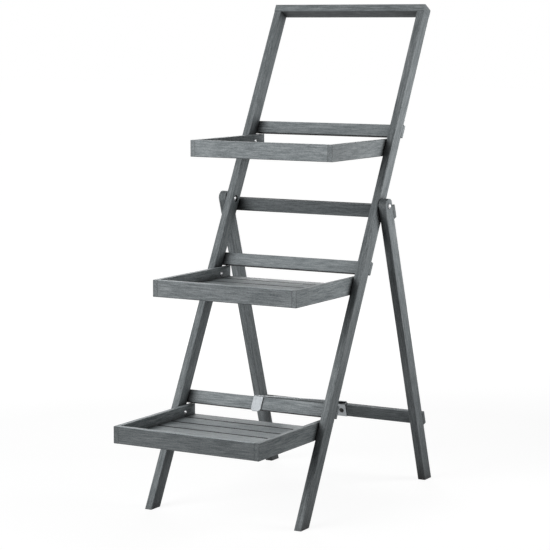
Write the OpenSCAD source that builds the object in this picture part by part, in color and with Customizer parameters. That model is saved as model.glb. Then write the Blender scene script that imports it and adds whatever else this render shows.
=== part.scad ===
// Folding plant ladder stand: a leaning front frame that carries three slatted trays,
// a rear frame hinged to it, and a steel stay that ties the two frames at the bottom.
// X is across the stand, Y runs to the back, Z is up. The origin is on the floor, in the
// middle of the stand's footprint.

/* [Stance] */
// Height of the top edge above the floor
total_height = 1160; // [900:10:1400]
// Lean of the front frame, from upright
lean = 27.6; // [22:0.2:32]
// Lean of the rear frame, from upright
rear_lean = 18.4; // [14:0.2:23]
// Pivot of the two frames, measured along the front rails from the floor
pivot_along = 789.5; // [700:0.5:860]

/* [Front frame] */
// Width over the two front rails
frame_w = 412; // [340:1:520]
// Thickness of a front rail, across the stand
rail_t = 18; // [16:0.5:24]
// Depth of a front rail, front to back
rail_d = 34; // [28:0.5:44]
// Thickness of the top rail that caps the front rails
top_rail_t = 19; // [14:0.5:26]
// Height of a front bar
bar_h = 31; // [24:0.5:40]
// Thickness of a front bar
bar_t = 9; // [8:0.5:14]
// Lower edge of the lowest bar, measured along the rails from the floor
lower_bar_along = 274.6; // [230:0.2:330]
// Spacing of the bars and trays along the rails
bar_pitch = 350; // [330:1:380]

/* [Rear frame] */
// Thickness of a rear leg, across the stand
leg_t = 19; // [16:0.5:24]
// Depth of a rear leg, front to back
leg_d = 35; // [28:0.5:42]
// Gap between a rail and a leg, filled by the pivot washer
leg_gap = 1.4; // [1:0.1:3]
// Height of a rear bar
leg_bar_h = 32; // [24:0.5:40]
// Thickness of a rear bar
leg_bar_t = 11; // [9:0.5:14]
// Upper edge of the lower rear bar, below the pivot along the legs
lower_leg_bar_down = 555; // [500:1:600]

/* [Trays] */
// Length of a tray, front to back
tray_len = 322; // [300:1:340]
// Height of a tray's boards
tray_h = 39; // [34:0.5:48]
// Thickness of a tray's boards
board_t = 12; // [9:0.5:16]
// How far a tray reaches in front of the rails, at its top edge
tray_reach = 268; // [240:1:280]
// Depth from a tray's top edge down to its pivots
tray_pivot_drop = 15.5; // [13:0.5:20]
// Depth from a tray's top edge down to its slats
slat_recess = 24.2; // [18:0.2:26]
// Thickness of a slat
slat_t = 8; // [6:0.5:9]
// Width of a full slat
slat_w = 52.5; // [48:0.5:54]
// Width of the rear slat
rear_slat_w = 43.5; // [35:0.5:46]
// Gap between two slats
slat_gap = 5; // [4:0.5:7]
// How far the sides run past the rear slat
side_overrun = 3.5; // [1:0.5:8]
// Width of the cleats under the slats
cleat_w = 14; // [10:0.5:20]

/* [Stay] */
// Width of the stay
stay_w = 26; // [20:1:32]
// Thickness of the stay's steel
stay_t = 2; // [1.5:0.1:3]
// Sideways place of the stay's centre
stay_x = -1; // [-30:1:30]
// How far the stay's hook reaches below the bar
hook_below = 5; // [2:0.5:8]
// Corner cut of the hook
hook_corner = 5; // [3:0.5:8]
// Length of the lip behind the rear bar
lip_len = 7; // [5:0.5:10]
// Width of the keeper plate on the rear bar
keeper_w = 26; // [18:1:30]
// Thickness of the keeper plate
keeper_t = 1.5; // [1:0.1:2]
// Sideways place of the keeper's centre
keeper_x = 2; // [-30:1:30]

/* [Fasteners] */
// Diameter of the frame pivot bolts
pivot_d = 8; // [6:0.5:10]
// Diameter of the heads of the frame pivot bolts
pivot_head_d = 12; // [10:0.5:18]
// Height of the heads of the frame pivot bolts
pivot_head_h = 4; // [3:0.2:6]
// Diameter of the tray bolts
tray_bolt_d = 6; // [5:0.5:7]
// Diameter of the heads of the tray bolts
tray_head_d = 10; // [9:0.5:13]
// Height of the heads of the tray bolts
tray_head_h = 2.4; // [1.6:0.2:4]
// Outer diameter of the threaded inserts in the rails
insert_d = 9; // [8:0.5:12]
// Length of the threaded inserts, whose holes stop short of the rails' outer faces
insert_len = 14; // [10:0.5:16]
// Diameter of the wood screws
screw_d = 4; // [3:0.5:5]
// Diameter of the countersunk screw heads
screw_head_d = 8; // [7:0.5:9]
// Diameter of the keeper's domed screw
keeper_screw_d = 11.5; // [9:0.5:13]
// Diameter of the dowels at the front corners of the trays
dowel_d = 6; // [4:0.5:7]
// Length of the dowels
dowel_len = 28; // [24:1:36]

/* [Clearances] */
// Gap round a shank, insert or dowel in its hole
hole_gap = 0.05; // [0.02:0.01:0.1]
// Gap between parts that bear on each other and still move
bear_gap = 0.3; // [0.2:0.1:0.5]
// Gap between a tray's side and a rail, filled by the tray's washer
tray_gap = 1; // [0.8:0.1:2]
// Gap between a washer and the part that turns on it
washer_gap = 0.2; // [0.1:0.05:0.3]
// Easing of the edges of the frame timbers
frame_ease = 1.2; // [0.6:0.1:2]
// Easing of the edges of the tray boards and slats
board_ease = 0.8; // [0.4:0.1:1.5]

/* [Hidden] */
$fn = 48;
levels = ["top", "middle", "bottom"];
slat_count = 6;

function tray_pieces() = concat(
    ["side_left", "side_right", "front_board", "cleat_left", "cleat_right", "dowels"],
    [for (k = [1:slat_count]) str("slat_", k)]);

wood = "#8e9293";
wood_dark = "#7c8082";
zinc = "#c9ccce";
black = "#1c1c1e";

// A point of the side view: along a rail from the floor and back from its front face
function on_rail(along, back) =
    [along * sin(lean) + back * cos(lean), along * cos(lean) - back * sin(lean)];
// The frame pivot lies on the rails' centre line
pivot = on_rail(pivot_along, rail_d / 2);
// A point of the side view: down a leg from the pivot and back from its centre line
function on_leg(down, back) =
    [pivot[0] + down * sin(rear_lean) + back * cos(rear_lean),
     pivot[1] - down * cos(rear_lean) + back * sin(rear_lean)];

rail_len = (total_height + frame_ease * sin(lean)) / cos(lean);
rail_top = rail_len - top_rail_t;
rail_x = (frame_w - rail_t) / 2;
leg_x = frame_w / 2 + leg_gap + leg_t / 2;
leg_frame_w = frame_w + 2 * (leg_gap + leg_t);
leg_len = (pivot[1] + leg_d / 2 * sin(rear_lean)) / cos(rear_lean) + leg_d;
bars_along = [for (i = [2:-1:0]) lower_bar_along + i * bar_pitch];

// The upper rear bar is the stop: its top front edge bears on the rails' rear faces
spread = lean + rear_lean;
upper_leg_bar_down = (rail_d / 2 + bear_gap - leg_d / 2 * cos(spread)) / sin(spread);
leg_bars_down = [upper_leg_bar_down, lower_leg_bar_down];

// Trays bear up against the lower rear corners of the bars
function tray_top_z(i) = on_rail(bars_along[i], rail_d + bar_t)[1] - bear_gap;
function tray_front_y(i) = tray_top_z(i) * tan(lean) - tray_reach;
function tray_pivot_along(i) =
    (tray_top_z(i) - tray_pivot_drop + rail_d / 2 * sin(lean)) / cos(lean);
tray_w = frame_w - 2 * (rail_t + tray_gap);
tray_inner_w = tray_w - 2 * board_t;
slat_zone_end = tray_len - side_overrun;
rear_slat_front = slat_zone_end - rear_slat_w;
front_slat_front = board_t + slat_gap / 2;
front_slat_w = rear_slat_front - slat_gap - (slat_count - 2) * (slat_w + slat_gap) - front_slat_front;
cleat_h = tray_h - slat_recess - slat_t;

// The stand reaches from the bottom tray's front to the rear feet or the top rail
foot_rear = pivot[0] + pivot[1] * tan(rear_lean) + leg_d / 2 / cos(rear_lean);
top_rear = on_rail(rail_len - frame_ease, rail_d)[0];
middle_y = (tray_front_y(2) + max(foot_rear, top_rear)) / 2;

// Screws: two at each end of a bar, through the bar into the timber behind it
screw_edge = 8;
screw_bite = 20;
screw_head_h = (screw_head_d - screw_d) / 2;
top_screw_len = 50;
pivot_washer_t = leg_gap - washer_gap;
tray_washer_t = tray_gap - washer_gap;
washer_rim = 4;
nut_r = 6.5;
nut_h = 3;
nut_cap_r = 5;
nut_cap_h = 2.2;
nut_well_r = 8;
nut_well = nut_h + nut_cap_h + bear_gap;
pivot_bolt_len = leg_t + leg_gap + rail_t - nut_well + nut_h;
tray_bolt_bite = insert_len - 2;
keeper_screw_len = 9;
keeper_dome_h = 3.5;
bend_steps = 6;

// ---------- frames of reference ----------
module placed() translate([0, -middle_y, 0]) children();
module on_front() placed() rotate([-lean, 0, 0]) children();
module on_rear()
    placed() translate([0, pivot[0], pivot[1]]) rotate([rear_lean, 0, 0]) children();
module on_tray(i)
    placed() translate([0, tray_front_y(i), tray_top_z(i) - tray_h]) children();
module both_sides() for (side = [-1, 1]) mirror([side < 0 ? 1 : 0, 0, 0]) children();

// ---------- timber shapes ----------
// A w by h section with eased corners
function eased(w, h, e) =
    [[e, 0], [w - e, 0], [w, e], [w, h - e], [w - e, h], [e, h], [0, h - e], [0, e]];
// Timber lying along X, centred on X = 0, with its section from the origin in Y and Z
module timber_x(len, w, h, e)
    translate([-len / 2, 0, 0]) rotate([90, 0, 90]) linear_extrude(len) polygon(eased(w, h, e));
// Timber lying along Y from Y = 0
module timber_y(len, w, h, e)
    translate([0, len, 0]) rotate([90, 0, 0]) linear_extrude(len) polygon(eased(w, h, e));
// Timber standing along Z from Z = 0
module timber_z(len, w, h, e) linear_extrude(len) polygon(eased(w, h, e));

// ---------- fastener shapes ----------
// A rod or hole along +X from the origin
module rod_x(r, len) rotate([0, 90, 0]) cylinder(r = r, h = len);
// A low dome along +Z, r across its base and h high, with a short straight rim
module dome(r, h) {
    rim = h * 0.25;
    cap = h - rim;
    ball = (r * r + cap * cap) / (2 * cap);
    rotate_extrude() union() {
        square([r, rim]);
        intersection() {
            translate([0, rim]) square([r, cap]);
            translate([0, rim + cap - ball]) circle(r = ball, $fn = 96);
        }
    }
}
module dome_x(r, h) rotate([0, 90, 0]) dome(r, h);
// A countersunk wood screw along +Z: head face at Z = 0, pointing down
module wood_screw(len, gap = 0) {
    tip = screw_d;
    r = screw_d / 2 + gap;
    rotate_extrude() polygon([
        [0, 0], [screw_head_d / 2 + gap, 0], [r, -screw_head_h], [r, tip - len],
        [gap, -len - gap], [0, -len - gap]]);
}
module washer_x(bore, rim, t)
    difference() {
        rod_x(bore / 2 + rim, t);
        translate([-1, 0, 0]) rod_x(bore / 2 + hole_gap, t + 2);
    }

// ---------- places of the fasteners ----------
// Bar screws of one front bar, in the front frame
module at_bar_screws(i)
    for (side = [-1, 1], up = [screw_edge, bar_h - screw_edge])
        translate([side * rail_x, rail_d + bar_t, bars_along[i] + up]) rotate([-90, 0, 0])
            children();
// Bar screws of one rear bar, in the rear frame
module at_leg_bar_screws(i)
    for (side = [-1, 1], down = [screw_edge, leg_bar_h - screw_edge])
        translate([side * leg_x, leg_d / 2 + leg_bar_t, -leg_bars_down[i] - down])
            rotate([-90, 0, 0]) children();
// The main pivot at the rail's inner face, pointing out along +X
module at_pivot()
    translate([frame_w / 2 - rail_t, rail_d / 2, pivot_along]) children();
// A tray pivot at the rail's inner face, pointing out along +X
module at_tray_pivot(i)
    translate([frame_w / 2 - rail_t, rail_d / 2, tray_pivot_along(i)]) children();
// Top rail screws, head up
module at_top_screws()
    for (side = [-1, 1]) translate([side * rail_x, rail_d / 2, rail_len]) children();

// ---------- front frame ----------
// The right rail; its foot is cut level with the floor
module rail() difference() {
    translate([frame_w / 2 - rail_t, 0, 0]) timber_z(rail_top, rail_t, rail_d, frame_ease);
    rotate([lean, 0, 0]) translate([0, -rail_d, -2 * rail_d]) cube([frame_w, 4 * rail_d, 2 * rail_d]);
    at_pivot() {
        translate([-1, 0, 0]) rod_x(pivot_d / 2 + hole_gap, rail_t + 2);
        translate([-1, 0, 0]) rod_x(nut_well_r, nut_well + 1);
    }
    for (i = [0:2]) at_tray_pivot(i)
        translate([-1, 0, 0]) rod_x(insert_d / 2 + hole_gap, insert_len + 1 + hole_gap);
    for (i = [0:2]) at_bar_screws(i) wood_screw(bar_t + screw_bite, hole_gap);
    at_top_screws() wood_screw(top_screw_len, hole_gap);
}
module rail_left() color(wood) on_front() mirror([1, 0, 0]) rail();
module rail_right() color(wood) on_front() rail();
module top_rail() color(wood) on_front() difference() {
    translate([0, 0, rail_top]) timber_x(frame_w, rail_d, top_rail_t, frame_ease);
    at_top_screws() wood_screw(top_screw_len, hole_gap);
}
module bar(i) color(wood_dark) on_front() difference() {
    translate([0, rail_d, bars_along[i]]) timber_x(frame_w, bar_t, bar_h, board_ease);
    at_bar_screws(i) wood_screw(bar_t + screw_bite, hole_gap);
}
module bar_screws() color(zinc) on_front()
    for (i = [0:2]) at_bar_screws(i) wood_screw(bar_t + screw_bite);
module top_rail_screws() color(zinc) on_front() at_top_screws() wood_screw(top_screw_len);

// ---------- frame pivots ----------
module pivot_bolts() color(zinc) on_front() both_sides() at_pivot() {
    translate([nut_well - nut_h, 0, 0]) rod_x(pivot_d / 2, pivot_bolt_len);
    translate([rail_t + leg_gap + leg_t, 0, 0]) dome_x(pivot_head_d / 2, pivot_head_h);
}
module pivot_nuts() color(zinc) on_front() both_sides() at_pivot() difference() {
    union() {
        translate([nut_well - nut_h, 0, 0]) rotate([0, 90, 0]) cylinder(r = nut_r, h = nut_h, $fn = 6);
        translate([nut_well - nut_h, 0, 0]) rotate([0, -90, 0]) dome(nut_cap_r, nut_cap_h);
    }
    translate([nut_well - nut_h - hole_gap, 0, 0]) rod_x(pivot_d / 2 + hole_gap, nut_h + 1);
}
module pivot_washers() color(zinc) on_front() both_sides() at_pivot()
    translate([rail_t, 0, 0]) washer_x(pivot_d, washer_rim, pivot_washer_t);

// ---------- tray pivots ----------
module tray_bolts() color(zinc) on_front() both_sides() for (i = [0:2]) at_tray_pivot(i) {
    translate([-tray_gap - board_t, 0, 0]) rod_x(tray_bolt_d / 2, board_t + tray_gap + tray_bolt_bite);
    translate([-tray_gap - board_t, 0, 0]) rotate([0, 180, 0]) dome_x(tray_head_d / 2, tray_head_h);
}
module tray_inserts() color(zinc) on_front() both_sides() for (i = [0:2]) at_tray_pivot(i)
    difference() {
        rod_x(insert_d / 2, insert_len);
        translate([-1, 0, 0]) rod_x(tray_bolt_d / 2 + hole_gap, tray_bolt_bite + 1 + hole_gap);
    }
module tray_washers() color(zinc) on_front() both_sides() for (i = [0:2]) at_tray_pivot(i)
    translate([-tray_washer_t, 0, 0]) washer_x(tray_bolt_d, washer_rim, tray_washer_t);

// ---------- rear frame ----------
// The right leg: round top about the pivot, foot cut level with the floor
module leg() difference() {
    translate([leg_x - leg_t / 2, 0, 0]) intersection() {
        translate([0, -leg_d / 2, -leg_len]) timber_z(leg_len + leg_d, leg_t, leg_d, frame_ease);
        union() {
            rod_x(leg_d / 2, leg_t);
            translate([0, -leg_d / 2, -leg_len]) cube([leg_t, leg_d, leg_len]);
        }
    }
    rotate([-rear_lean, 0, 0]) translate([0, -pivot[0] * 2, -pivot[1] - 2 * leg_d])
        cube([leg_frame_w, pivot[0] * 5, 2 * leg_d]);
    translate([leg_x - leg_t, 0, 0]) rod_x(pivot_d / 2 + hole_gap, 2 * leg_t);
    for (i = [0:1]) at_leg_bar_screws(i) wood_screw(leg_bar_t + screw_bite, hole_gap);
}
module leg_left() color(wood) on_rear() mirror([1, 0, 0]) leg();
module leg_right() color(wood) on_rear() leg();
module leg_bar(i) color(wood_dark) on_rear() difference() {
    translate([0, leg_d / 2, -leg_bars_down[i] - leg_bar_h])
        timber_x(leg_frame_w, leg_bar_t, leg_bar_h, board_ease);
    at_leg_bar_screws(i) wood_screw(leg_bar_t + screw_bite, hole_gap);
    if (i == 1) at_keeper_screw() rod_x(screw_d / 2 + hole_gap, keeper_screw_len + hole_gap);
}
module leg_bar_screws() color(zinc) on_rear()
    for (i = [0:1]) at_leg_bar_screws(i) wood_screw(leg_bar_t + screw_bite);

// ---------- stay and its keeper ----------
// Middle of the keeper's face on the lower rear bar, with +X pointing back into the bar
module at_keeper_screw()
    translate([keeper_x, leg_d / 2, -lower_leg_bar_down - leg_bar_h / 2]) rotate([0, 0, 90])
        children();
// Angle plate over the front face and the top edge of the lower rear bar
module keeper_plate() color(zinc) on_rear() difference() {
    translate([keeper_x - keeper_w / 2, leg_d / 2, -lower_leg_bar_down]) {
        translate([0, -keeper_t, -leg_bar_h]) cube([keeper_w, keeper_t, leg_bar_h + keeper_t]);
        translate([0, -keeper_t, 0]) cube([keeper_w, leg_bar_t + keeper_t, keeper_t]);
    }
    at_keeper_screw() translate([-2 * keeper_t, 0, 0]) rod_x(screw_d / 2 + hole_gap, 3 * keeper_t);
}
module keeper_screw() color(black) on_rear() at_keeper_screw() {
    translate([-keeper_t, 0, 0]) rod_x(screw_d / 2, keeper_t + keeper_screw_len);
    translate([-keeper_t, 0, 0]) rotate([0, 180, 0]) dome_x(keeper_screw_d / 2, keeper_dome_h);
}
// Side outlines of the stay, undersides first: a hook down the front of the lowest bar,
// a straight run back, and a lip down behind the lower rear bar, meeting face to face
run_front = on_rail(lower_bar_along + bar_h + bear_gap, rail_d - bear_gap);
run_rear = on_leg(lower_leg_bar_down - keeper_t - bear_gap, leg_d / 2 + leg_bar_t + bear_gap);
run_fall = atan2(run_front[1] - run_rear[1], run_rear[0] - run_front[0]);
hook_end = on_rail(lower_bar_along - hook_below, rail_d - bear_gap);
lip_end = on_leg(lower_leg_bar_down - keeper_t - bear_gap + lip_len, leg_d / 2 + leg_bar_t + bear_gap);
function ray(angle) = [cos(angle), sin(angle)];
function bend(corner, from, to) =
    [for (k = [0:bend_steps]) corner + stay_t * ray(from + (to - from) * k / bend_steps)];
strap_outline = concat(
    [run_front, run_rear],
    bend(run_rear, rear_lean, 90 - run_fall),
    bend(run_front, 90 - run_fall, 180 - lean));
// Outline of a flat end of the stay, from a corner to its tip, thickened towards an angle
function end_outline(corner, tip, angle) =
    [corner, tip, tip + stay_t * ray(angle), corner + stay_t * ray(angle)];
module stay_strip(outline) color(zinc)
    placed() translate([stay_x - stay_w / 2, 0, 0]) rotate([90, 0, 90])
        linear_extrude(stay_w) polygon(outline);
module stay_strap() stay_strip(strap_outline);
module stay_lip() stay_strip(end_outline(run_rear, lip_end, rear_lean));
module stay_hook() color(zinc) difference() {
    stay_strip(end_outline(run_front, hook_end, 180 - lean));
    on_front() for (side = [-1, 1])
        translate([stay_x + side * stay_w / 2, rail_d / 2, lower_bar_along - hook_below])
            rotate([0, 45, 0]) cube([hook_corner * sqrt(2), rail_d, hook_corner * sqrt(2)], center = true);
}

// ---------- trays ----------
// The right side board, with its pivot bore and dowel holes
module tray_side(i) difference() {
    translate([tray_w / 2 - board_t, 0, 0]) timber_y(tray_len, board_t, tray_h, board_ease);
    translate([tray_w / 2 - 2 * board_t, tray_pivot_y(i), tray_h - tray_pivot_drop])
        rod_x(tray_bolt_d / 2 + hole_gap, 3 * board_t);
    at_dowels() rod_x(dowel_d / 2 + hole_gap, dowel_len + hole_gap);
}
// Distance of a tray's pivots behind its front
function tray_pivot_y(i) = on_rail(tray_pivot_along(i), rail_d / 2)[0] - tray_front_y(i);
// The right corner's dowels, pointing out along +X
dowel_in_side = board_t * 2 / 3;
module at_dowels() for (up = [tray_h / 4, tray_h * 3 / 4])
    translate([tray_inner_w / 2 + dowel_in_side - dowel_len, board_t / 2, up]) children();
module front_board() difference() {
    timber_x(tray_inner_w, board_t, tray_h, board_ease);
    both_sides() at_dowels()
        translate([-hole_gap, 0, 0]) rod_x(dowel_d / 2 + hole_gap, dowel_len + board_t);
}
module dowels() both_sides() at_dowels() rod_x(dowel_d / 2, dowel_len);
// Slat 1 is the narrow one at the front, the last is the rear one
function slat_front(k) = k == 1 ? front_slat_front
    : rear_slat_front - (slat_count - k) * (slat_w + slat_gap);
function slat_width(k) = k == 1 ? front_slat_w : k == slat_count ? rear_slat_w : slat_w;
module slat(k) translate([0, slat_front(k), cleat_h])
    timber_x(tray_inner_w - 2 * bear_gap, slat_width(k), slat_t, board_ease);
// The right cleat, under the slat ends
module cleat() translate([tray_inner_w / 2 - cleat_w, board_t, 0])
    cube([cleat_w, slat_zone_end - board_t, cleat_h]);

module tray_piece(i, piece) on_tray(i) {
    if (piece == "side_left") color(wood) mirror([1, 0, 0]) tray_side(i);
    if (piece == "side_right") color(wood) tray_side(i);
    if (piece == "front_board") color(wood) front_board();
    if (piece == "cleat_left") color(wood_dark) mirror([1, 0, 0]) cleat();
    if (piece == "cleat_right") color(wood_dark) cleat();
    if (piece == "dowels") color(wood_dark) dowels();
    for (k = [1:slat_count]) if (piece == str("slat_", k)) color(wood_dark) slat(k);
}

rail_left();
rail_right();
top_rail();
bar(0);  // bar_upper
bar(1);  // bar_middle
bar(2);  // bar_lower
bar_screws();
top_rail_screws();
pivot_bolts();
pivot_nuts();
pivot_washers();
tray_bolts();
tray_inserts();
tray_washers();
leg_left();
leg_right();
leg_bar(0);  // leg_bar_upper
leg_bar(1);  // leg_bar_lower
leg_bar_screws();
keeper_plate();
keeper_screw();
stay_hook();
stay_strap();
stay_lip();
for (i = [0:2], piece = tray_pieces())
    tray_piece(i, piece);
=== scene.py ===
"""Looks of a folding plant ladder stand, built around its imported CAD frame."""
import math

import bpy
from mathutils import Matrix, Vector

# ---------- camera: metres and degrees ----------
CAMERA_PLACE = (2.2631, -3.9624, 1.1005)
CAMERA_TURN = (82.89, -0.12, 29.742)
CAMERA_LENS_MM = 129.2
SENSOR_MM = 36.0

# ---------- lamps: metres and watts ----------
AIM = (0.0, 0.0, 0.62)
LAMPS = {
    "key": {"place": (-1.17, -2.63, 1.45), "power": 86, "size": 2.2},
    "fill": {"place": (0.88, 0.46, 0.86), "power": 5.8, "size": 0.5},
    "back": {"place": (-1.60, 2.60, 1.50), "power": 30, "size": 1.5},
}

# ---------- white surroundings: metres ----------
WHITE = (1, 1, 1, 1)
SKY_STRENGTH = 0.02
FLOOR_HALF = 30.0
FLOOR_TONE = 0.19
# the floor glows a little less near the stand, where the lamps light it too
FLOOR_GLOW_NEAR = 0.885
FLOOR_GLOW_FAR = 1.0
FLOOR_FADE = (1.2, 2.6)

# ---------- colours, linear ----------
TIMBER_DARK = (0.080, 0.095, 0.101)
TIMBER_MID = (0.216, 0.240, 0.250)
TIMBER_LIGHT = (0.390, 0.418, 0.430)
TIMBER_STOPS = [(0.37, TIMBER_DARK), (0.50, TIMBER_MID), (0.63, TIMBER_LIGHT)]
STEEL = (0.62, 0.63, 0.64)
ZINC = (0.37, 0.39, 0.405)
BLACK = (0.008, 0.008, 0.009, 1)

# ---------- grain: feature sizes in metres ----------
# size across the fibres, size along them, detail and roughness of each noise
GRAIN_NOISES = {
    "bands": (0.0050, 0.090, 4.0, 0.60),
    "fibres": (0.0024, 0.040, 4.0, 0.70),
    "flecks": (0.0016, 0.0035, 3.0, 0.60),
    "pores": (0.0011, 0.016, 2.0, 0.50),
    "clouds": (0.035, 0.16, 2.0, 0.50),
}
COLOUR_WEIGHTS = {"bands": 0.16, "fibres": 0.46, "flecks": 0.26, "clouds": 0.12}
HEIGHT_WEIGHTS = {"fibres": 0.6, "bands": 0.4}
NOISE_SPREAD = (0.3, 0.7)
PORE_SPREAD = (0.30, 0.42)
PORE_TONE = 0.72
SPECKLE_SIZE = 0.0014
SPECKLE_TONES = (0.84, 1.04)
TIMBER_ROUGHNESS = (0.70, 0.56)
TIMBER_SPECULAR = 0.35
TIMBER_BUMP = {"Strength": 0.45, "Distance": 0.0006}
# where in the noise each board lies, by its node's place in the sorted list
SHIFT_STEPS = (0.37, 0.53, 0.71)
SHIFT_SPANS = (1.9, 2.3, 1.7)

# ---------- which way faces and edges look: the cosines between which a tone fades ----------
END_FACING = (0.55, 0.85)
EASED_FACING = (0.78, 0.95)
UNDER_FACING = (-0.75, -0.25)
SQUARE_FACING = (0.6, 0.9)
SIDEWAYS_FACING = (0.2, 0.5)
EDGE_MATCH = (0.90, 0.995)
EDGE_DOWN = (-0.60, -0.20)
EDGE_UP = (0.40, 0.65)
EDGE_BACK = (0.1, 0.5)
CORNER_WAY = (0.15, 0.35)

# ---------- edges, gaps and corners: widths and reaches in metres ----------
SHADING_SAMPLES = 6
STEEL_EDGE_WIDTH = 0.0018
BOARD_EDGE_WIDTH = 0.0030
SLAT_EDGE_WIDTH = 0.0065
# painted shade on edges that look down and back, a slight darkening of other edges, and painted light
# on edges that look up
DOWN_EDGE_SHADE = 0.25
BACK_EDGE_SHADE = 0.40
OTHER_EDGE_TONE = 0.92
TOP_EDGE_LIGHT = 1.25
END_EDGE_SHARE = 0.45
# painted shade in narrow gaps, and more widely in the corners where pieces meet
CREVICE_REACH = 0.024
CREVICE_OPENNESS = (0.36, 0.88)
PAINTED_CREVICE_SHADE = 0.08
CORNER_REACH = 0.075
CORNER_OPENNESS = (0.45, 0.90)
PAINTED_CORNER_SHADE = 0.30
# painted shade in the crevices of steel parts, around screws and bolt heads
STEEL_CREVICE_REACH = 0.005
STEEL_PAINTED_CREVICE_SHADE = 0.10

# ---------- steel: feature sizes in metres ----------
BRUSHING_SIZE = (0.0004, 0.006, 0.006)
WEAR_SIZE = 0.009
# painted shade on steel edges, standing in for darker reflections there
STEEL_EDGE_SHADE = 0.35
STEEL_ROUGHNESS_SWING = (-0.07, 0.09)
STEEL_BUMP = {"Strength": 0.25, "Distance": 0.0001}
MOTTLE_SIZE = 0.0012
PAINT_ROUGHNESS = (0.16, 0.26)
PAINT_SPECULAR = 0.25
PAINT_BUMP = {"Strength": 0.2, "Distance": 0.0001}

# ---------- which node is made of what ----------
RAIL_LEAN = 27.6
LEG_LEAN = -18.4
ZINC_NODES = ("keeper_plate", "stay_hook", "stay_strap", "stay_lip")
STEEL_WORDS = ("screws", "bolts", "nuts", "washers", "inserts")
Y_GRAIN_WORDS = ("side_", "cleat_")

# ---------- how light each board is, partly painted light and shade; the first word that a node's name holds counts ---
TONES = {
    # painted shade darkens the tray fronts from the top tray down, and painted light makes the slats
    # lighter
    "slat": 1.22,
    "tray_top_front": 1.02, "tray_middle_front": 0.76, "tray_bottom_front": 0.53,
    "tray_top": 0.97, "tray_middle": 1.32, "tray_bottom": 1.12,
    "top_rail": 0.88, "leg_bar": 0.66, "bar_upper": 1.08, "bar_": 1.06,
    "rail_left": 1.10, "rail_right": 0.92, "leg_left": 0.82, "leg_right": 0.93,
}
TONE_SWING = 0.05
GOLDEN_TURN = 2.39996
# painted shade on the faces of rails and legs that don't look sideways
NARROW_FACE_SHADES = {"rail_left": 0.68, "rail_right": 0.88, "leg_left": 0.84, "leg_right": 0.69}
# painted shade on the undersides of the front frame's bars, and of every other board
UNDER_SHADES = {"top_rail": 0.42, "bar_": 0.06}
UNDER_SHADE = 0.55
# painted light on the upper faces of tray boards: their tone there, in place of the board's own tone
TOP_LIGHT_TONES = {"side_right": 0.95, "side_left": 1.35, "front": 1.35, "dowels": 1.0}
# the end grain that shows at the tray corners, darker from the top tray down as painted shade, and
# the seam beside it
END_TONES = {"tray_top": 0.95, "tray_middle": 0.57, "tray_bottom": 0.48}
SEAM_TONE = 0.55
# the trays' left sides show their inner face, where the painted corner shade is weaker
LEFT_PAINTED_CORNER_SHADE = 0.85
# painted shade in the gaps between slats, on their upper edges and on their faces that look forward
# or back
SLAT_TOP_EDGE_SHADE = 0.14
SLAT_SIDE_SHADE = 0.05

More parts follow.
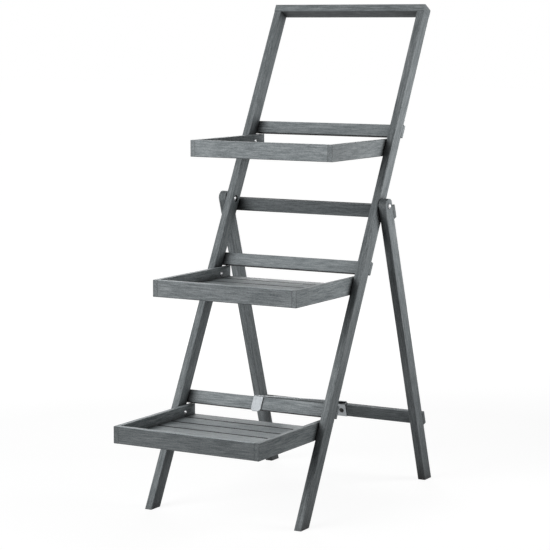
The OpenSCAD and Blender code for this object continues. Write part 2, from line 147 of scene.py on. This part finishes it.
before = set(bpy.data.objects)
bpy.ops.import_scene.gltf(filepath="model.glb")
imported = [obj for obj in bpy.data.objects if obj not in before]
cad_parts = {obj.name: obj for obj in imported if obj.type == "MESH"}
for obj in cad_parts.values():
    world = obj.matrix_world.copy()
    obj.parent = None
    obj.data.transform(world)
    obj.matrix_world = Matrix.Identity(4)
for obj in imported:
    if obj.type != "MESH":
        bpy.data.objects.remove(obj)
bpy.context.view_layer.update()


class Shader:
    """The node tree of a material or world, with a short call for each kind of node used here."""

    def __init__(self, owner):
        owner.use_nodes = True
        self.owner = owner
        self.tree = owner.node_tree
        self.tree.nodes.clear()

    def node(self, kind, inputs=(), **settings):
        made = self.tree.nodes.new(kind)
        for key, value in settings.items():
            setattr(made, key, value)
        for key, value in dict(inputs).items():
            if isinstance(value, bpy.types.NodeSocket):
                self.tree.links.new(value, made.inputs[key])
            else:
                made.inputs[key].default_value = value
        return made

    def maths(self, operation, *values):
        return self.node("ShaderNodeMath", enumerate(values), operation=operation).outputs[0]

    def product(self, value, *others):
        for other in others:
            value = self.maths("MULTIPLY", value, other)
        return value

    def weighted_sum(self, parts, weights):
        total = None
        for kind, weight in weights.items():
            part = self.maths("MULTIPLY", parts[kind], weight)
            total = part if total is None else self.maths("ADD", total, part)
        return total

    def vector(self, operation, *values):
        return self.node("ShaderNodeVectorMath", enumerate(values), operation=operation)

    def along(self, way, axis):
        """The cosine between two directions."""
        return self.vector("DOT_PRODUCT", way, axis).outputs["Value"]

    def noise(self, place, feature, detail, roughness):
        """Noise whose features are as large as feature says, in metres, along each axis."""
        scale = [1 / size for size in feature]
        scaled = self.vector("MULTIPLY", place, scale).outputs[0]
        inputs = {"Vector": scaled, "Scale": 1.0, "Detail": detail, "Roughness": roughness}
        return self.node("ShaderNodeTexNoise", inputs).outputs[0]

    def ramp(self, value, stops):
        made = self.node("ShaderNodeValToRGB", {0: value})
        points = made.color_ramp.elements
        while len(points) < len(stops):
            points.new(0.5)
        for point, (place, colour) in zip(points, stops):
            point.position = place
            point.color = (*colour, 1)
        return made.outputs[0]

    def span(self, value, low, high, to_low=0.0, to_high=1.0):
        """Carries low to high over into to_low to to_high, and stays level outside it."""
        inputs = {0: value, 1: low, 2: high, 3: to_low, 4: to_high}
        return self.node("ShaderNodeMapRange", inputs, clamp=True).outputs[0]

    def partly(self, amount, tone):
        """1 where amount is 0, and tone where amount is 1."""
        return self.node("ShaderNodeMix", {0: amount, 2: 1.0, 3: tone}).outputs[0]

    def shade(self, colour, amount):
        return self.vector("SCALE", colour, (0, 0, 0), (0, 0, 0), amount).outputs[0]

    def bump(self, height, settings):
        return self.node("ShaderNodeBump", {**settings, "Height": height}).outputs[0]

    def edge_mask(self, width):
        """1 on a piece's edges and 0 on its flats, and which way its edges look, in its own axes."""
        rounded = self.node("ShaderNodeBevel", {"Radius": width}, samples=SHADING_SAMPLES).outputs[0]
        flat = self.node("ShaderNodeNewGeometry").outputs["True Normal"]
        own_way = self.node("ShaderNodeVectorTransform", {"Vector": rounded}, vector_type="NORMAL",
                            convert_from="WORLD", convert_to="OBJECT").outputs[0]
        return self.span(self.along(rounded, flat), *EDGE_MATCH, 1.0, 0.0), own_way

    def painted_crevice_shade(self, darkest, reach, openness):
        """Painted shade: darkens narrow gaps and the corners where pieces meet, by how closed in they
        are.
        """
        inputs = {"Distance": reach}
        lit = self.node("ShaderNodeAmbientOcclusion", inputs, samples=SHADING_SAMPLES).outputs["AO"]
        return self.span(lit, *openness, darkest, 1.0)

    def finish(self, inputs):
        surface = self.node("ShaderNodeBsdfPrincipled", inputs).outputs[0]
        self.node("ShaderNodeOutputMaterial", {0: surface})
        return self.owner


def new_shader(name):
    return Shader(bpy.data.materials.new(name))


# ---------- timber ----------
def grain_noises(s, place, grain):
    """The noises that make up the grain, drawn out along the axis of the fibres."""
    noises = {}
    for kind, (across, along, detail, roughness) in GRAIN_NOISES.items():
        feature = [along if axis == grain else across for axis in "xyz"]
        noises[kind] = s.noise(place, feature, detail, roughness)
    return noises


def board_facing(s, normal, angle):
    """How squarely a face looks along each of the board's own axes, either way, from 0 to 1."""
    sine = math.sin(math.radians(angle))
    cosine = math.cos(math.radians(angle))
    axes = {"x": (1, 0, 0), "y": (0, cosine, -sine), "z": (0, sine, cosine)}
    return {name: s.maths("ABSOLUTE", s.along(normal, axis)) for name, axis in axes.items()}


def painted_edge_light_and_seams(s, facing, end, edge_width, painted_top_edge, seam_tone):
    """Painted shade on edges that look down or back, and the top-edge tone on those that look up:
    painted light on boards and painted shade on slats. A seam_tone below 1 also darkens the
    upright edges, where two tray boards meet."""
    # the CAD's eased edges face none of the board's three axes squarely
    squarest = s.maths("MAXIMUM", s.maths("MAXIMUM", facing["x"], facing["y"]), facing["z"])
    eased = s.span(squarest, *EASED_FACING, 1.0, 0.0)
    sharp, edge_way = s.edge_mask(edge_width)
    edge_up = s.along(edge_way, (0, 0, 1))
    edge_back = s.along(edge_way, (0, 1, 0))
    edge_light_shade_and_seam = s.product(s.span(edge_up, *EDGE_DOWN, DOWN_EDGE_SHADE, 1.0),
                          s.span(edge_up, *EDGE_UP, 1.0, painted_top_edge),
                          s.span(edge_back, *EDGE_BACK, OTHER_EDGE_TONE, BACK_EDGE_SHADE))
    edge = s.product(s.maths("MAXIMUM", eased, sharp), s.span(end, 0.0, 1.0, 1.0, END_EDGE_SHARE))
    if seam_tone < 1:
        across, back = s.node("ShaderNodeSeparateXYZ", {0: edge_way}).outputs[:2]
        corner = s.maths("ABSOLUTE", s.product(across, back))
        edge_light_shade_and_seam = s.product(edge_light_shade_and_seam, s.span(corner, *CORNER_WAY, 1.0, seam_tone))
        edge = s.maths("MAXIMUM", edge, s.product(sharp, s.span(corner, *CORNER_WAY)))
    return s.partly(edge, edge_light_shade_and_seam)


def timber(name, grain, angle, tone, shift, narrow_shade=1.0, under_shade=UNDER_SHADE, top_light=1.0,
           side_shade=1.0, end_tone=1.0, seam_tone=1.0, corner_shade=PAINTED_CORNER_SHADE,
           painted_top_edge=TOP_EDGE_LIGHT, edge_width=BOARD_EDGE_WIDTH):
    """Grey brushed timber. grain is the axis of its fibres once the piece is turned upright by angle,
    tone how light it is, partly painted light and shade, and shift where in the noise it lies.
    The other tones count on top of tone: the narrow tone is painted shade on faces that don't
    look sideways, the under and top tones are painted shade and painted light on those that look
    down and up, the side tone is painted shade on those that look forward or back, the end tone
    counts on end grain, the seam tone on upright edges, and the top-edge tone on upper edges, as
    painted light on boards and painted shade on slats. The corner tone is the darkest painted shade
    that a corner between pieces gets, and edge_width how far an edge reaches into its faces."""
    s = new_shader(name)
    where = s.node("ShaderNodeTexCoord").outputs
    turn = {"Location": shift, "Rotation": (math.radians(-angle), 0, 0)}
    place = s.node("ShaderNodeMapping", {"Vector": where["Object"], **turn},
                   vector_type="TEXTURE").outputs[0]
    noises = grain_noises(s, place, grain)
    colour = s.ramp(s.weighted_sum(noises, COLOUR_WEIGHTS), TIMBER_STOPS)

    # end grain is speckled, wherever a face looks along the fibres
    facing = board_facing(s, where["Normal"], angle)
    end = s.span(facing[grain], *END_FACING)
    speckle_tones = [limit * end_tone for limit in SPECKLE_TONES]
    speckle_noise = s.noise(place, (SPECKLE_SIZE,) * 3, detail=3.0, roughness=0.6)
    speckle = s.span(speckle_noise, *NOISE_SPREAD, *speckle_tones)

    upward = s.along(where["Normal"], (0, 0, 1))
    # pores and end-grain speckle are the timber's own marks; the edge factor apart from its seams,
    # the crevice, underside and corner factors, and the top, side and narrow ones added below are
    # painted light and shade
    shades = [
        s.span(noises["pores"], *PORE_SPREAD, PORE_TONE, 1.0),
        painted_edge_light_and_seams(s, facing, end, edge_width, painted_top_edge, seam_tone),
        s.partly(end, speckle),
        s.painted_crevice_shade(PAINTED_CREVICE_SHADE, CREVICE_REACH, CREVICE_OPENNESS),
        s.span(upward, *UNDER_FACING, under_shade, 1.0),
        s.painted_crevice_shade(corner_shade, CORNER_REACH, CORNER_OPENNESS),
    ]
    if top_light != 1:
        shades.append(s.span(upward, *SQUARE_FACING, 1.0, top_light))
    if side_shade < 1:
        shades.append(s.span(facing["y"], *SQUARE_FACING, 1.0, side_shade))
    if narrow_shade < 1:
        shades.append(s.span(facing["x"], *SIDEWAYS_FACING, narrow_shade, 1.0))

    height = s.weighted_sum(noises, HEIGHT_WEIGHTS)
    return s.finish({
        "Base Color": s.shade(colour, s.product(*shades, tone)),
        "Roughness": s.span(noises["fibres"], *NOISE_SPREAD, *TIMBER_ROUGHNESS),
        "Normal": s.bump(height, TIMBER_BUMP),
        "Specular IOR Level": TIMBER_SPECULAR,
    })


# ---------- steel ----------
def steel(name, colour, roughness, wear):
    """Plated steel with faint brushing and cloudy wear, with painted shade on its edges and in its
    crevices.
    """
    s = new_shader(name)
    place = s.node("ShaderNodeTexCoord").outputs["Object"]
    brushing = s.noise(place, BRUSHING_SIZE, detail=2.0, roughness=0.5)
    cloud = s.noise(place, (WEAR_SIZE,) * 3, detail=3.0, roughness=0.6)
    wear_and_painted_shade = s.product(s.span(cloud, *NOISE_SPREAD, 1 - wear, 1.0),
                      s.span(s.edge_mask(STEEL_EDGE_WIDTH)[0], 0.0, 1.0, 1.0, STEEL_EDGE_SHADE),
                      s.painted_crevice_shade(STEEL_PAINTED_CREVICE_SHADE, STEEL_CREVICE_REACH, CREVICE_OPENNESS))
    limits = [roughness + swing for swing in STEEL_ROUGHNESS_SWING]
    return s.finish({
        "Base Color": s.shade(colour, wear_and_painted_shade),
        "Metallic": 1.0,
        "Roughness": s.span(brushing, *NOISE_SPREAD, *limits),
        "Normal": s.bump(brushing, STEEL_BUMP),
    })


def black_paint(name):
    """Black baked paint with a slight unevenness."""
    s = new_shader(name)
    place = s.node("ShaderNodeTexCoord").outputs["Object"]
    mottle = s.noise(place, (MOTTLE_SIZE,) * 3, detail=2.0, roughness=0.5)
    return s.finish({
        "Base Color": BLACK,
        "Roughness": s.span(mottle, *NOISE_SPREAD, *PAINT_ROUGHNESS),
        "Normal": s.bump(mottle, PAINT_BUMP),
        "Specular IOR Level": PAINT_SPECULAR,
    })


# ---------- a material for every node ----------
METALS = {
    "bright_steel": steel("bright_steel", STEEL, roughness=0.26, wear=0.12),
    "zinc_steel": steel("zinc_steel", ZINC, roughness=0.64, wear=0.16),
    "black_steel": black_paint("black_steel"),
}


def first_match(table, node):
    """The value of the first word in table that node's name holds."""
    return next(value for word, value in table.items() if word in node)


def choose_timber(node, index):
    tone = first_match(TONES, node) * (1 + TONE_SWING * math.sin(index * GOLDEN_TURN))
    shift = tuple(step * index % span for step, span in zip(SHIFT_STEPS, SHIFT_SPANS))
    name = "timber_" + node
    if node in NARROW_FACE_SHADES:
        lean = RAIL_LEAN if node.startswith("rail") else LEG_LEAN
        return timber(name, "z", lean, tone, shift, narrow_shade=NARROW_FACE_SHADES[node])
    if "slat" in node:
        return timber(name, "x", 0, tone, shift, side_shade=SLAT_SIDE_SHADE,
                      painted_top_edge=SLAT_TOP_EDGE_SHADE, edge_width=SLAT_EDGE_WIDTH)
    if node == "top_rail" or node.startswith("bar_"):
        return timber(name, "x", RAIL_LEAN, tone, shift, under_shade=first_match(UNDER_SHADES, node))
    if node.startswith("leg_bar"):
        return timber(name, "x", LEG_LEAN, tone, shift)
    grain = "y" if any(word in node for word in Y_GRAIN_WORDS) else "x"
    if "cleat" in node:
        return timber(name, grain, 0, tone, shift)
    # painted light on the upper faces and upper edges of tray boards
    top_light = first_match(TOP_LIGHT_TONES, node) / tone
    corner_shade = LEFT_PAINTED_CORNER_SHADE if "side_left" in node else PAINTED_CORNER_SHADE
    return timber(name, grain, 0, tone, shift, top_light=top_light, painted_top_edge=top_light,
                  end_tone=first_match(END_TONES, node), seam_tone=SEAM_TONE,
                  corner_shade=corner_shade)


def choose_material(node, index):
    if node in ZINC_NODES:
        return METALS["zinc_steel"]
    if node == "keeper_screw":
        return METALS["black_steel"]
    if any(word in node for word in STEEL_WORDS):
        return METALS["bright_steel"]
    return choose_timber(node, index)


for index, node in enumerate(sorted(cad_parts)):
    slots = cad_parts[node].data.materials
    slots.clear()
    slots.append(choose_material(node, index))


# ---------- stage, lamps and camera ----------
def add_object(name, data):
    made = bpy.data.objects.new(name, data)
    bpy.context.scene.collection.objects.link(made)
    return made


def seen_directly(shader):
    """1 for rays from the camera, a reflection or glass, which show the white background."""
    ray = shader.node("ShaderNodeLightPath").outputs
    total = shader.maths("ADD", ray["Is Camera Ray"], ray["Is Glossy Ray"])
    return shader.maths("MINIMUM", shader.maths("ADD", total, ray["Is Transmission Ray"]), 1.0)


def add_floor():
    half = FLOOR_HALF
    mesh = bpy.data.meshes.new("floor")
    corners = [(-half, -half, 0), (half, -half, 0), (half, half, 0), (-half, half, 0)]
    mesh.from_pydata(corners, [], [(0, 1, 2, 3)])
    floor = add_object("floor", mesh)
    s = new_shader("floor")
    grey = (FLOOR_TONE, FLOOR_TONE, FLOOR_TONE, 1)
    matt = s.node("ShaderNodeBsdfDiffuse", {"Color": grey}).outputs[0]
    place = s.node("ShaderNodeTexCoord").outputs["Object"]
    reach = s.vector("LENGTH", place).outputs["Value"]
    level = s.span(reach, *FLOOR_FADE, FLOOR_GLOW_NEAR, FLOOR_GLOW_FAR)
    strength = s.product(seen_directly(s), level)
    glow = s.node("ShaderNodeEmission", {"Color": WHITE, "Strength": strength}).outputs[0]
    both = s.node("ShaderNodeAddShader", {0: matt, 1: glow}).outputs[0]
    s.node("ShaderNodeOutputMaterial", {0: both})
    mesh.materials.append(s.owner)


def add_world():
    world = bpy.data.worlds.new("studio")
    bpy.context.scene.world = world
    s = Shader(world)
    strength = s.span(seen_directly(s), 0.0, 1.0, SKY_STRENGTH, 1.0)
    sky = s.node("ShaderNodeBackground", {"Color": WHITE, "Strength": strength}).outputs[0]
    s.node("ShaderNodeOutputWorld", {0: sky})


def add_lamp(name, place, power, size):
    lamp = bpy.data.lights.new(name, "AREA")
    lamp.energy = power
    lamp.size = size
    holder = add_object(name, lamp)
    holder.visible_camera = False
    holder.location = place
    holder.rotation_euler = (Vector(AIM) - Vector(place)).to_track_quat("-Z", "Y").to_euler()


def add_camera():
    lens = bpy.data.cameras.new("camera")
    lens.lens = CAMERA_LENS_MM
    lens.sensor_width = SENSOR_MM
    holder = add_object("camera", lens)
    holder.location = CAMERA_PLACE
    holder.rotation_euler = [math.radians(turn) for turn in CAMERA_TURN]
    bpy.context.scene.camera = holder


add_floor()
add_world()
for lamp_name, lamp_settings in LAMPS.items():
    add_lamp(lamp_name, **lamp_settings)
add_camera()
bpy.context.scene.view_settings.view_transform = "Standard"
